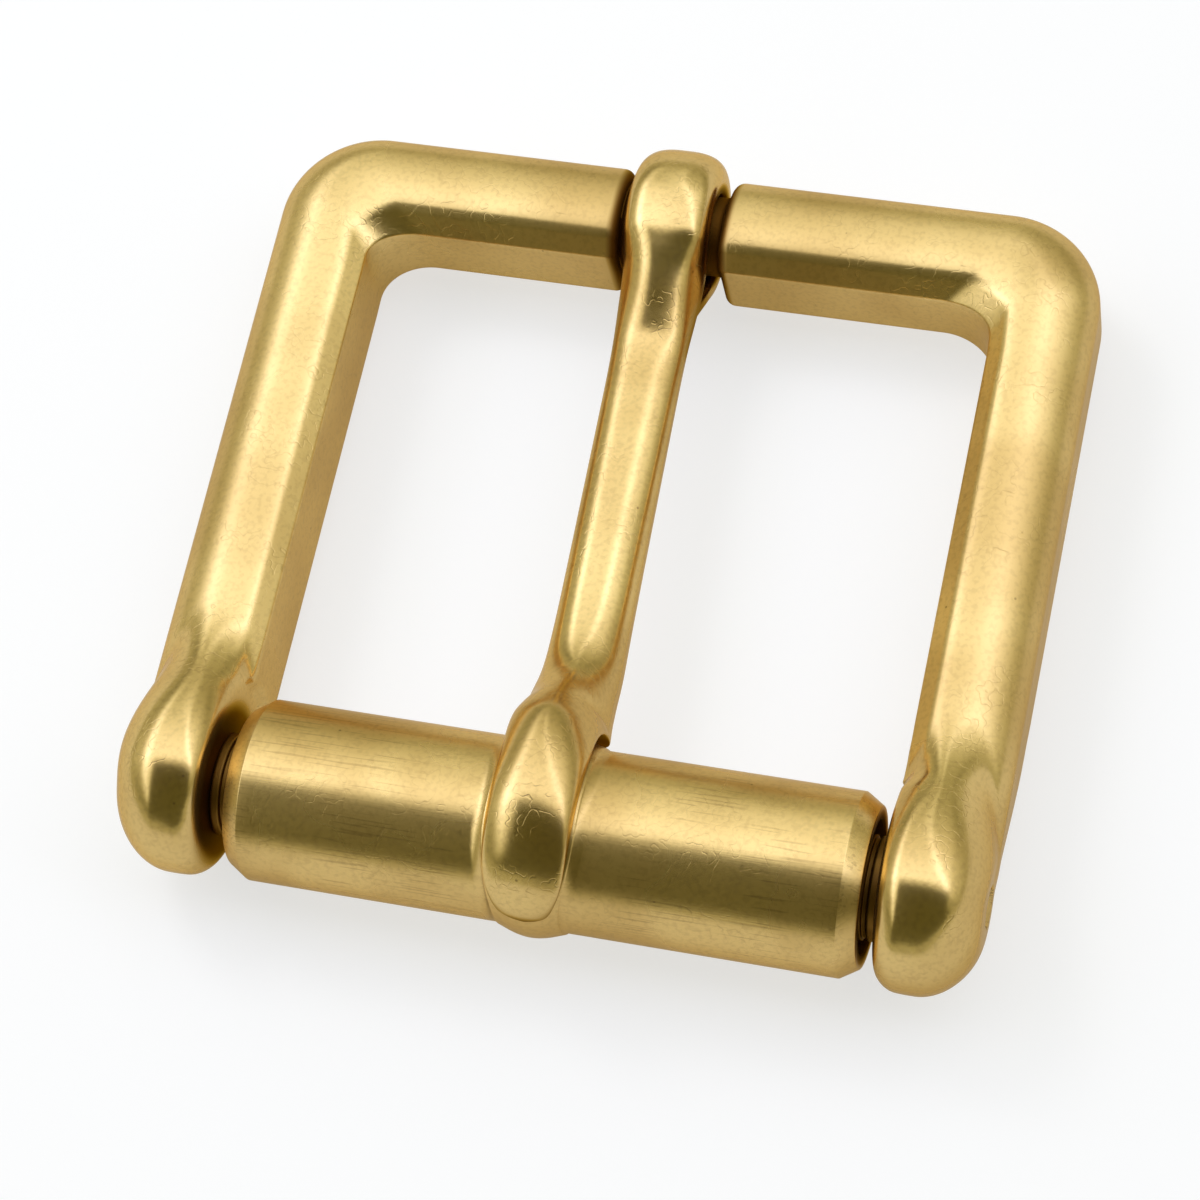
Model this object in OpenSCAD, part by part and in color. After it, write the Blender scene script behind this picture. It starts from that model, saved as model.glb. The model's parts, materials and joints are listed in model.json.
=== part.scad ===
// Roller buckle for a 38 mm belt, in cast and turned brass, lying on its lugs and on the eye of its tongue.
// X runs along the crossbar, -Y points to the roller, +Z is up and z = 0 is the surface it lies on.

/* [Frame] */
// Clear width between the two arms
inner_w = 40; // [30:0.5:60]
// Distance from the crossbar's axis to the roller's axis
reach = 41; // [30:0.5:60]
// Width of the bars, seen from above
bar_w = 6.2; // [5.2:0.1:6.6]
// Height of the bars
bar_h = 7.4; // [6:0.1:10]
// Radius of the bars' two lower edges
bar_edge_r = 1.2; // [0.3:0.1:1.8]
// Radius round the outside of the frame's two far corners
corner_r = 6.1; // [4:0.1:12]
// Radius of the fillet inside those corners
fillet_r = 3.2; // [0.8:0.1:5]

/* [Neck] */
// Diameter of the crossbar's neck, on which the tongue turns
neck_d = 5.0; // [3:0.1:5.6]
// Side play of the eye between the shoulders of the neck
neck_play = 1.5; // [0.6:0.1:2.5]
// Offset of the neck from the middle of the frame
neck_x = -1.3; // [-3:0.1:3]
// Rounding of the shoulders at the neck
shoulder_r = 1.2; // [0.4:0.1:2]

/* [Lugs] */
// Diameter of the round lugs at the arms' ends
lug_d = 11.6; // [9:0.1:16]
// Width of a lug
lug_w = 6.1; // [5.5:0.1:9]
// Depth of the round relief that clears the roller's ends, cut into the arms and lugs
relief_t = 0.2; // [0:0.05:0.6]
// Clearance round the roller in that relief
relief_gap = 0.7; // [0.3:0.1:1.5]
// Rounding of a lug's rim on its outer side
lug_outer_r = 3.1; // [1:0.1:3.6]
// Rounding of a lug's rim on its inner side
lug_inner_r = 1.5; // [0.4:0.1:2.2]

/* [Pin] */
// Diameter of the pin under the roller
pin_d = 6.2; // [4:0.1:7.4]
// Diameter of the pin's two tails in the lugs
tail_d = 2.4; // [1.5:0.1:4]
// Clearance round a tail in its lug
tail_play = 0.03; // [0.01:0.01:0.1]
// Depth of a tail's end below the lug's outer face
tail_depth = 0.4; // [0.1:0.1:1]
// Width of the two grooves turned near each end of the pin
groove_w = 0.35; // [0.2:0.05:0.6]
// Depth of those grooves
groove_t = 0.2; // [0.1:0.05:0.5]

/* [Roller] */
// Diameter of the roller
roller_d = 11.0; // [9:0.1:15]
// Running clearance round the pin
roller_play = 0.08; // [0.03:0.01:0.1]
// Free play of the roller between the lugs
roller_slack = 2.2; // [1.2:0.1:3]
// Offset of the roller from the middle of the frame, within its play
roller_x = 0.3; // [-0.5:0.1:0.5]
// Length of the bevels at the roller's ends
bevel_l = 1.1; // [0.3:0.1:1.6]
// Height of those bevels
bevel_h = 0.7; // [0.2:0.1:1.2]
// Diameter of the wider bore at the roller's ends
recess_d = 8.0; // [7.8:0.1:8.4]
// Depth of the wider bore
recess_l = 1.6; // [0.4:0.1:4]
// Width of the bead round the roller's middle
bead_w = 5.2; // [3:0.1:9]
// Height of the bead above the roller
bead_h = 0.5; // [0.2:0.05:0.7]

/* [Tongue] */
// Offset of the eye and the shaft from the middle of the frame, within the eye's play
tongue_x = -1.0; // [-1.2:0.1:-0.8]
// Width of the eye
eye_w = 5.4; // [4:0.1:8]
// Wall of the eye round its bore
eye_wall = 2.35; // [2:0.05:3.5]
// Rounding of the eye's outer edges
eye_round = 1.9; // [0.5:0.1:2]
// Running clearance of the eye on the neck
eye_play = 0.08; // [0.03:0.01:0.1]
// Length of the web under the shaft, in front of the eye's axis
web_l = 8.4; // [6:0.1:12]
// Width of the seam where the eye's curled end meets the web
seam_w = 0.2; // [0.1:0.05:0.5]
// Angle of that seam below the eye's front
seam_angle = 65; // [55:1:100]
// Width of the shaft
shaft_w = 4.5; // [3.9:0.1:5.3]
// Height of the shaft
shaft_h = 3.5; // [3:0.1:5]
// Rounding of the shaft's upper edges
shaft_round = 1.9; // [0.5:0.1:1.9]
// Drop of the shaft's top from the eye to the tip
shaft_drop = 2.0; // [0:0.1:4]
// Offset of the tip and of the roller's bead from the middle of the frame
tip_x = -0.1; // [-3:0.1:3]
// Width of the domed tip
tip_w = 5.0; // [4.4:0.1:8]
// Radius of the dome over the roller, seen from the side
dome_r = 7.6; // [7:0.1:8.5]
// Height of the dome's centre above the roller's axis
dome_up = 0.5; // [0:0.1:1.5]
// Distance of the dome's centre behind the roller's axis
dome_back = 1.2; // [0:0.1:2]
// Rounding of the dome's upper edges
dome_round = 2.1; // [0.5:0.1:2.2]
// Gap between the tip and the bead at rest
tip_gap = 0.3; // [0.1:0.05:0.6]
// Angle of the tip's end above the roller's front
tip_angle = 26; // [10:1:35]

/* [Hidden] */
$fn = 64;
// Overlap that joins shapes which would only touch
lap = 0.1;
bore_d = neck_d + 2 * eye_play;
eye_r = bore_d / 2 + eye_wall;
bar_z = eye_r;
bar_base = bar_z - bar_h / 2;
bead_r = roller_d / 2 + bead_h;
lug_z = max(lug_d / 2, bead_r);
bar_y = (reach + lug_z - eye_r) / 2;
lug_y = bar_y - reach;
lug_face = inner_w / 2 + relief_t;
neck_w = eye_w + neck_play;
roller_l = 2 * lug_face - roller_slack;
roller_bore_d = pin_d + 2 * roller_play;
saddle_r = bead_r + tip_gap;

// Turned form about the X axis. Its section has x along the axis and y as the radius.
module turned() {
    rotate([0, 90, 0]) rotate_extrude() rotate(90) mirror([0, 1]) children();
}

// Flat block from x0 to x1 and from y = 0 to y1, with its upper corners rounded to r0 and r1
module rounded_block(x0, x1, y1, r0, r1) {
    intersection() {
        translate([x0, 0]) square([x1 - x0, y1]);
        union() {
            translate([x0, 0]) square([r0, y1 - r0]);
            translate([x1 - r1, 0]) square([r1, y1 - r1]);
            translate([x0 + r0, 0]) square([x1 - x0 - r0 - r1, y1]);
            translate([x0 + r0, y1 - r0]) circle(r0);
            translate([x1 - r1, y1 - r1]) circle(r1);
        }
    }
}

// Section of the bars, standing on y = 0: round lower edges, upright sides, half-round top
module bar_section() {
    half = bar_w / 2;
    translate([0, bar_h - half]) circle(half);
    translate([-half, bar_edge_r]) square([bar_w, bar_h - half - bar_edge_r]);
    translate([bar_edge_r - half, 0]) square([bar_w - 2 * bar_edge_r, bar_h - half]);
    for (side = [-1, 1]) translate([side * (half - bar_edge_r), bar_edge_r]) circle(bar_edge_r);
}

// One half of the crossbar on the side given by its sign, with its shoulder rounded at the neck
module crossbar_half(side) {
    start = side * neck_x + neck_w / 2;
    stop = inner_w / 2 + bar_w - corner_r;
    around_r = norm([bar_w, bar_h]) / 2;
    translate([0, bar_y, 0]) mirror([side < 0 ? 1 : 0, 0, 0]) intersection() {
        translate([start, 0, bar_base]) rotate([90, 0, 90]) linear_extrude(stop - start) bar_section();
        translate([0, 0, bar_z]) turned()
            rounded_block(start, stop + shoulder_r, around_r, shoulder_r, shoulder_r);
    }
}

// The corner, the arm and the lug on one side
module arm(side) {
    bend_x = inner_w / 2 + bar_w - corner_r;
    bend_y = bar_y + bar_w / 2 - corner_r;
    wall_h = bar_h - bar_w / 2 - bar_edge_r;
    mirror([side < 0 ? 1 : 0, 0, 0]) {
        translate([bend_x, bend_y, bar_base])
            rotate_extrude(angle = 90) intersection() {
                translate([corner_r - bar_w / 2, 0]) bar_section();
                square([corner_r, bar_h]);
            }
        translate([inner_w / 2, bar_y - bar_w / 2, bar_base + bar_edge_r]) linear_extrude(wall_h)
            difference() {
                translate([-fillet_r, -fillet_r]) square(fillet_r + lap);
                translate([-fillet_r, -fillet_r]) circle(fillet_r);
            }
        translate([inner_w / 2 + bar_w / 2, bend_y, bar_base])
            rotate([90, 0, 0]) linear_extrude(bend_y - lug_y) bar_section();
        translate([0, lug_y, lug_z]) turned()
            rounded_block(lug_face, lug_face + lug_w, lug_d / 2, lug_inner_r, lug_outer_r);
    }
}

// Cast frame: crossbar with its neck, two arms and two lugs, relieved and drilled for the pin
module frame() {
    drill_l = 2 * (lug_face + lug_w + lap);
    color("#C9A24A") difference() {
        union() {
            for (side = [-1, 1]) {
                crossbar_half(side);
                arm(side);
            }
            translate([neck_x, bar_y, bar_z]) rotate([0, 90, 0])
                cylinder(h = neck_w + 2 * shoulder_r, d = neck_d, center = true);
        }
        translate([0, lug_y, lug_z]) rotate([0, 90, 0]) {
            cylinder(h = drill_l, d = tail_d + 2 * tail_play, center = true);
            cylinder(h = 2 * lug_face, d = roller_d + 2 * relief_gap, center = true);
        }
    }
}

// Pin under the roller, with a turned-down tail in each lug
module roller_pin() {
    tail_end = lug_face + lug_w - tail_depth;
    body_end = lug_face - tail_play;
    color("#B8923F") translate([0, lug_y, lug_z]) turned() difference() {
        union() {
            translate([-tail_end, 0]) square([2 * tail_end, tail_d / 2]);
            translate([-body_end, 0]) square([2 * body_end, pin_d / 2]);
        }
        for (side = [-1, 1], n = [1, 2])
            translate([side * (body_end - 2 * n * groove_w) - groove_w / 2, pin_d / 2 - groove_t])
                square([groove_w, 2 * groove_t]);
    }
}

// Arc section of the bead, on the roller's axis
module bead_section() {
    arc_r = (bead_w * bead_w / 4 + bead_h * bead_h) / (2 * bead_h);
    intersection() {
        translate([0, bead_r - arc_r]) circle(arc_r);
        translate([-bead_w / 2, 0]) square([bead_w, bead_r]);
    }
}

// Turned roller: a tube with bevelled ends, a wider bore at each end and a bead round its middle
module roller() {
    half = roller_l / 2;
    outer = roller_d / 2;
    color("#D0AC56") translate([roller_x, lug_y, lug_z]) difference() {
        union() {
            turned() polygon([
                [-half, 0], [-half, outer - bevel_h], [bevel_l - half, outer],
                [half - bevel_l, outer], [half, outer - bevel_h], [half, 0]
            ]);
            translate([tip_x - roller_x, 0, 0]) turned() bead_section();
        }
        rotate([0, 90, 0]) cylinder(h = 2 * roller_l, d = roller_bore_d, center = true);
        for (side = [-1, 1]) translate([side * half, 0, 0]) rotate([0, 90, 0])
            cylinder(h = 2 * recess_l, d = recess_d, center = true);
    }
}

// Shaft of the tongue, from the eye to the saddle over the roller
module shaft() {
    run = reach;
    slope = atan(shaft_drop / run);
    turn = atan((tip_x - tongue_x) / run);
    translate([tongue_x, bar_y, bar_z + eye_r]) rotate([90 + slope, 0, turn]) translate([0, -shaft_h, 0])
        linear_extrude(run / cos(slope))
            rounded_block(-shaft_w / 2, shaft_w / 2, shaft_h, shaft_round, shaft_round);
}

// Web from the front of the eye to the underside of the shaft
module web() {
    root = eye_r * sqrt(0.5);
    under = eye_r - shaft_h - shaft_drop * web_l / reach;
    top = under + shaft_h / 2;
    translate([tongue_x - shaft_w / 2, bar_y, bar_z]) rotate([90, 0, 90]) linear_extrude(shaft_w)
        polygon([[-root, -root], [-web_l, under], [-web_l, top], [0, top], [0, -root]]);
}

// Outline of the tip seen from the front: its end is a half circle that stands on y = 0
module tip_outline() {
    translate([0, tip_w / 2]) circle(tip_w / 2);
    translate([-tip_w / 2, tip_w / 2]) square([tip_w, 2 * dome_r]);
}

// Domed tip over the roller: a turned lens, ended in front at the tip's angle and there round in plan
module dome() {
    translate([tip_x, lug_y, lug_z]) intersection() {
        translate([0, dome_back, dome_up]) turned()
            rounded_block(-tip_w / 2, tip_w / 2, dome_r, dome_round, dome_round);
        union() {
            translate([-tip_w, 0, 0]) cube([2 * tip_w, 2 * dome_r, 2 * dome_r]);
            rotate([90 - tip_angle, 0, 0]) linear_extrude(2 * dome_r) tip_outline();
        }
    }
}

// Cast tongue: the eye on the neck, the shaft, and the domed tip that straddles the roller
module tongue() {
    color("#CFA94F") difference() {
        union() {
            translate([tongue_x, bar_y, bar_z]) turned()
                rounded_block(-eye_w / 2, eye_w / 2, eye_r, eye_round, eye_round);
            shaft();
            web();
            dome();
        }
        translate([tongue_x, bar_y, bar_z]) rotate([0, 90, 0])
            cylinder(h = 2 * eye_w, d = bore_d, center = true);
        translate([tongue_x - eye_w, bar_y, bar_z]) rotate([seam_angle, 0, 0])
            translate([0, -2 * eye_r, -seam_w / 2]) cube([2 * eye_w, 2 * eye_r, seam_w]);
        translate([tip_x, lug_y, lug_z]) rotate([0, 90, 0])
            cylinder(h = 2 * tip_w, r = saddle_r, center = true);
    }
}

frame();
roller_pin();
roller();
tongue();
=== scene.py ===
import json
import math

import bpy
import numpy as np
from mathutils import Matrix, Vector


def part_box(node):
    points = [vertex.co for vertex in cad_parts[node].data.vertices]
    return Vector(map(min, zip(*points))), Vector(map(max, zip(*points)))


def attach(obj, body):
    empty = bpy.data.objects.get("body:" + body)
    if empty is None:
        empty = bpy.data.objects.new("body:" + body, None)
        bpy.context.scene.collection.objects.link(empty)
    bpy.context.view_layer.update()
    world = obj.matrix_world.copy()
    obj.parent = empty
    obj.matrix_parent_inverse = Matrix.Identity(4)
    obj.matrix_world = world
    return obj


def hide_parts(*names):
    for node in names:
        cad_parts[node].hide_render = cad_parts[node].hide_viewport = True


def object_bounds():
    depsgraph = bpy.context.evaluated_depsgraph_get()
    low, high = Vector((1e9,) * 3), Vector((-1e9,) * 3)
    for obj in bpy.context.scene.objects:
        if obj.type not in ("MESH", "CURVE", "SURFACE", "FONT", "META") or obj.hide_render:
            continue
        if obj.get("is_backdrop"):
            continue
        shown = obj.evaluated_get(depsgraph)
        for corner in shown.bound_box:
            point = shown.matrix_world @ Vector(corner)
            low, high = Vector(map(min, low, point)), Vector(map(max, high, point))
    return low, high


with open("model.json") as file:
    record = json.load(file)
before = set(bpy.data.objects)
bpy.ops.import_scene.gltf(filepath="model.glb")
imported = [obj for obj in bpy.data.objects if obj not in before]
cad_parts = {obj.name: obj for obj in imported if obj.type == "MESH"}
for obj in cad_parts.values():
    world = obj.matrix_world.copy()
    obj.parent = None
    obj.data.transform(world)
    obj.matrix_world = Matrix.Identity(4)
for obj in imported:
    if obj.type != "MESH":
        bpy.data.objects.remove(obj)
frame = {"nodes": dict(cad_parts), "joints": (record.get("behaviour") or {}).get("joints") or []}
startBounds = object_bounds()  # the CAD model's box
print("loaded the frame, nodes:", sorted(frame["nodes"]))

mm = 0.001  # all sizes below are in mm unless a note says otherwise; x goes across, y back and z up


def smoothStep(a, b, x):
    # soft change from 0 at a to 1 at b: t*t*(3 - 2*t), t = (x - a)/(b - a) kept in 0..1
    t = np.clip((x - a) / (b - a), 0, 1)
    return t * t * (3 - 2 * t)


def smoothMax(a, b, k):
    # the larger of a and b, rounded where they are less than k apart: b + (a - b)*h + k*h*(1 - h)
    h = np.clip(0.5 + 0.5 * (a - b) / k, 0, 1)
    return b + (a - b) * h + k * h * (1 - h)


def smoothMin(a, b, k):
    # the smaller of a and b, rounded in the same way
    return -smoothMax(-a, -b, k)


def spline(rows, count):
    # Catmull-Rom: a cubic between two rows, its slope at each row half the step from the row before to
    # the row after
    rows = np.asarray(rows, float)
    ends = np.vstack([2 * rows[0] - rows[1], rows, 2 * rows[-1] - rows[-2]])
    t = np.linspace(0, len(rows) - 1, count)
    k = np.minimum(t.astype(int), len(rows) - 2)
    f = (t - k)[:, None]
    a, b, c, d = ends[k], ends[k + 1], ends[k + 2], ends[k + 3]
    return b + 0.5 * f * (c - a + f * (2 * a - 5 * b + 4 * c - d + f * (3 * (b - c) + d - a)))


def slopeArc(start, radius, first, last, count):
    # arc from the point start whose slope a goes from first to last degrees: start + radius*(sin first -
    # sin a, cos a - cos first)
    a = np.radians(np.linspace(first, last, count))
    return start + radius * np.stack([np.sin(a[0]) - np.sin(a), np.cos(a) - np.cos(a[0])], -1)


def linearColour(text):
    # sRGB hex to linear: ((c + 0.055)/1.055)^2.4 above 0.04045, c/12.92 below
    c = np.array([int(text[i:i + 2], 16) for i in (1, 3, 5)]) / 255
    c = np.where(c > 0.04045, ((c + 0.055) / 1.055) ** 2.4, c / 12.92)
    return (*[float(v) for v in c], 1.0)


def addNode(tree, kind, values=(), out=0, **settings):
    # one node with its settings and inputs, in order or by name, each a link or a value; gives one output
    node = tree.nodes.new("ShaderNode" + kind)
    for key, value in settings.items():
        setattr(node, key, value)
    for key, value in (values if isinstance(values, dict) else dict(enumerate(values))).items():
        if isinstance(value, bpy.types.NodeSocket):
            tree.links.new(value, node.inputs[key])
        else:
            node.inputs[key].default_value = value
    return node.outputs[out]


# settings that several nodes share
times, timesPlus = {"operation": "MULTIPLY"}, {"operation": "MULTIPLY_ADD"}
minus, over = {"operation": "SUBTRACT"}, {"operation": "DIVIDE"}
smooth = {"interpolation_type": "SMOOTHSTEP"}


def gridPiece(name, grid, gapShade, closedRings=False):
    # mesh on a rings x columns grid of points in mm: point (i, j) makes a quad with (i, j+1), (i+1, j+1)
    # and (i+1, j), columns joined round; end rings are fanned to their mean points unless the rings join
    # up too. gapShade(x, y, z) is 0 on open metal and 1 deep in a gap, kept as a value of each point: the
    # mask of painted shade in the gaps
    rings, columns = grid.shape[:2]
    points = grid.reshape(-1, 3)
    i = np.arange(rings if closedRings else rings - 1)[:, None] * columns
    up = (i + columns) % (rings * columns)
    j = np.arange(columns)[None, :]
    k = (j + 1) % columns
    faces = np.stack([i + j, i + k, up + k, up + j], -1).reshape(-1, 4)
    loops = faces.ravel()
    starts = np.arange(len(faces)) * 4
    if not closedRings:
        first, last = len(points), len(points) + 1
        points = np.vstack([points, grid[0].mean(0), grid[-1].mean(0)])
        top = (rings - 1) * columns
        fanA = np.stack([np.full(columns, first), k[0], j[0]], -1)
        fanB = np.stack([np.full(columns, last), top + j[0], top + k[0]], -1)
        fans = np.vstack([fanA, fanB])
        starts = np.concatenate([starts, len(loops) + np.arange(len(fans)) * 3])
        loops = np.concatenate([loops, fans.ravel()])
    # signed volume of the fanned quads tells which way the faces look; below 0 all are turned round
    a, b, c, d = (points[faces[:, n]] for n in range(4))
    volume = np.einsum("ij,ij->i", a, np.cross(b, c)).sum() + np.einsum("ij,ij->i", a, np.cross(c, d)).sum()
    if volume < 0:
        counts = np.diff(np.append(starts, len(loops)))
        local = np.arange(len(loops)) - np.repeat(starts, counts)
        loops = loops[np.repeat(starts, counts) + np.repeat(counts, counts) - 1 - local]
    mesh = bpy.data.meshes.new(name)
    mesh.vertices.add(len(points))
    mesh.vertices.foreach_set("co", (points * mm).astype(np.float32).ravel())
    mesh.loops.add(len(loops))
    mesh.loops.foreach_set("vertex_index", loops.astype(np.int32))
    mesh.polygons.add(len(starts))
    mesh.polygons.foreach_set("loop_start", starts.astype(np.int32))
    depth = mesh.attributes.new("gapShade", "FLOAT", "POINT")
    depth.data.foreach_set("value", gapShade(*points.T).astype(np.float32))
    mesh.update(calc_edges=True)
    mesh.validate()
    mesh.shade_smooth()
    piece = bpy.data.objects.new(name, mesh)
    bpy.context.scene.collection.objects.link(piece)
    print("built", name, len(points), "points", len(starts), "faces")
    return piece


# the two axes: barY, barZ in the middle of the neck, lugY, lugZ in the pin and roller, reach apart
pinLow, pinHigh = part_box("roller_pin")
lugY = (pinLow.y + pinHigh.y) / 2 / mm
lugZ = (pinLow.z + pinHigh.z) / 2 / mm
swing = next(j for j in frame["joints"] if j["name"] == "tongue_swing")
barY, barZ = swing["pos_m"][1] / mm, swing["pos_m"][2] / mm
reach = barY - lugY
print("axes", round(barY, 3), round(barZ, 3), round(lugY, 3), round(lugZ, 3))


# the brass frame, in mm and degrees. Sections of the crossbar and of the arms: half is outward and inner
# inward of the middle line, top and low above it, spring where the outer curve starts, lean how far
# inward the crest lies, crest its radius, shoulder and facet the slopes there
frameShape = {
    "bar": {"cross": {"half": 3.1, "inner": 3.6, "top": 3.42, "spring": 0.9, "lean": 0.85, "crest": 5.2,
                      "shoulder": 14, "facet": 50, "low": -3.5},
            "arm": {"half": 3.25, "inner": 3.25, "top": 3.7, "spring": 0.7, "lean": 0.9, "crest": 3.4,
                    "shoulder": 19, "facet": 41, "low": -3.7},
            # radii of the lower edges, of the shoulder and of the facet's foot
            "edge": 1.2, "shoulderRadius": 1.2, "arris": 0.35,
            "middleX": 23.1,  # arms' middle lines from the middle of the buckle
            "shift": 0.2,  # crossbar back from the neck's axis
            # corners' radii: outer side, inner wall and inner crest
            "outerTurn": 6.1, "innerTurn": 3.1, "crestTurn": 2.2, "turnBlend": 1.8, "wallTop": 0.6,
            "crestAt": 80,
            # how many points each stretch of the section gets
            "points": {"outer": 60, "crest": 14, "shoulder": 12, "arris": 10, "facet": 14, "wall": 20,
                       "edge": 16, "under": 20, "side": 30}},
    "neck": {"radius": 2.5, "left": -4.05, "right": 2.45, "round": 0.7, "foot": 0.35},
    "lug": {"inner": 20.2, "outer": 26.3, "radius": 5.8, "innerRound": 1.5, "outerRound": 3.0,
            "bulge": 0.25, "bulgeOver": 2.5, "faceFall": 0.12, "faceOver": 3.0},
    # where an arm ends past the lug's middle, and the cut on its outer lower edge, deeper from far to near
    "armEnd": {"past": 0.6, "round": 2.6, "cut": 5.2, "growth": 2.3, "far": 11, "near": -1,
               "cutRound": 1.4},
    "valley": {"below": 0.5, "above": 5.0},  # rounding between arm and lug
    "relief": {"radius": 6.2, "face": 20.2, "round": 0.35, "dimple": 1.22, "dimpleDepth": 0.4,
               "dimpleRound": 0.08},
    # inner sides of the arms moved outward, and where that starts from the crossbar and from the lug
    "innerSide": {"right": 0.33, "left": -0.17, "width": 2.6, "crossEnd": (2, 7), "lugEnd": (5.2, 6.6)},
    # gapShade: distances over which painted shade fades out, on the neck and on the lugs' inner faces by
    # the pin
    "gapShade": {"neck": (0.15, 0.8), "neckDepth": 4, "pinEnd": (0.1, 0.9), "pinRadius": (4.2, 5.6)},
    # how many rings each stretch gets, and where the stretches meet, from the lug's middle
    "rings": {"neck": 8, "shoulder": 10, "cross": 22, "corner": 31, "arm": 24, "armToLug": 36, "lug": 30,
              "cap": 38},
    "lugStart": 11.5, "lugMiddle": 2.2, "lugFront": 0.9, "capLean": 86, "farthest": 12.0, "halvings": 40,
}
bar, neck, lug, relief = (frameShape[part] for part in ("bar", "neck", "lug", "relief"))


def barColumns(arm):
    # points (w outward, h up) round the bars' section, arm from 0 on the crossbar to 1 on the arms: outer
    # quarter ellipse w = (half + lean)*cos t - lean, h = spring + (top - spring)*sin t, crest arc,
    # shoulder arc, sloping facet, arris, wall, underside with two round edges
    v = {key: value + (bar["arm"][key] - value) * arm for key, value in bar["cross"].items()}
    half, inner, low, edge = v["half"], v["inner"], v["low"], bar["edge"]
    count = bar["points"]

    def between(a, b, n):
        # n even steps from a to b, without b itself
        return np.linspace(a, b, n + 1)[:-1]

    t = np.radians(between(0, 90, count["outer"]))
    parts = [np.stack([(half + v["lean"]) * np.cos(t) - v["lean"],
                       v["spring"] + (v["top"] - v["spring"]) * np.sin(t)], -1)]
    at, tilt = np.array([-v["lean"], v["top"]]), 0.0
    for radius, stretch, slope in ((v["crest"], "crest", v["shoulder"]),
                                   (bar["shoulderRadius"], "shoulder", v["facet"])):
        arc = slopeArc(at, radius, tilt, slope, count[stretch] + 1)
        parts.append(arc[:-1])
        at, tilt = arc[-1], slope
    arris = slopeArc(0, bar["arris"], tilt, 90, count["arris"] + 1)
    run = at[0] + inner + arris[-1, 0]  # what is left for the facet before the arris
    foot = at - run * np.array([1, np.tan(np.radians(tilt))])
    parts.append(at + (foot - at) * between(0, 1, count["facet"])[:, None])
    parts.append((foot + arris)[:-1])
    wall = between((foot + arris)[-1, 1], low + edge, count["wall"])
    parts.append(np.stack([np.full(wall.size, -inner), wall], -1))
    turn = np.radians(between(180, 270, count["edge"]))
    parts.append(np.stack([edge - inner + edge * np.cos(turn), low + edge + edge * np.sin(turn)], -1))
    under = between(edge - inner, half - edge, count["under"])
    parts.append(np.stack([under, np.full(under.size, low)], -1))
    parts.append(np.stack([half - edge - edge * np.sin(turn), low + edge + edge * np.cos(turn)], -1))
    side = between(low + edge, v["spring"], count["side"])
    parts.append(np.stack([np.full(side.size, half), side], -1))
    return np.vstack(parts)


# the arms' section as a distance at each angle round its middle
armOutline = barColumns(1.0)
armAngle = np.unwrap(np.arctan2(armOutline[:, 1], armOutline[:, 0]))
armReach = np.hypot(*armOutline.T)


def barField(w, h):
    # how far a point lies outside the arms' section, along the ray from its middle: sqrt(w^2 + h^2) less
    # the section's distance at that angle
    angle = np.mod(np.arctan2(h, w) - armAngle[0], 2 * np.pi) + armAngle[0]
    ends = np.append(armAngle, armAngle[0] + 2 * np.pi), np.append(armReach, armReach[0])
    return np.hypot(w, h) - np.interp(angle, *ends)


def lugField(x, y, z):
    # distance to a disc turned about the pin's axis, its two rims rounded by radii of their own: sqrt(q^2
    # + r^2) - rim where both are positive, q beyond the flat face and r beyond the round one; both bulge
    rho = np.hypot(y - lugY, z - lugZ)
    innerRound, outerRound = lug["innerRound"], lug["outerRound"]
    middle = (lug["inner"] + innerRound + lug["outer"] - outerRound) / 2
    radius = lug["radius"] - lug["bulge"] * ((x - middle) / lug["bulgeOver"]) ** 2
    face = lug["outer"] - lug["faceFall"] * (rho / lug["faceOver"]) ** 2

    def rounded(q, rim):
        r = rho - radius + rim
        return np.hypot(np.maximum(q, 0), np.maximum(r, 0)) + np.minimum(np.maximum(q, r), 0) - rim

    inside = rounded(lug["inner"] + innerRound - x, innerRound)
    return np.maximum(inside, rounded(x - (face - outerRound), outerRound))


def endField(x, y, z, up):
    # below 0 inside arm and lug: their rounded union, a soft valley above (up 1) and a crisp one below
    # (up 0), less the room for the roller and the dimple round the pin's end
    end = frameShape["armEnd"]
    rho = np.hypot(y - lugY, z - lugZ)
    arm = smoothMax(barField(x - bar["middleX"], z - barZ), lugY + end["past"] - y, end["round"])
    lowCorner = ((x - bar["middleX"]) - (z - barZ)) / np.sqrt(2)
    growth = end["growth"] * smoothStep(lugY + end["far"], lugY + end["near"], y)
    arm = smoothMax(arm, lowCorner - end["cut"] + growth, end["cutRound"])
    valley = frameShape["valley"]["below"] + frameShape["valley"]["above"] * up ** 2
    both = smoothMin(arm, lugField(x, y, z), valley)
    cut = np.maximum(rho - relief["radius"], x - relief["face"])
    both = smoothMax(both, -cut, relief["round"])
    hole = np.maximum(rho - relief["dimple"], lug["outer"] - relief["dimpleDepth"] - x)
    return smoothMax(both, -hole, relief["dimpleRound"])


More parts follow.
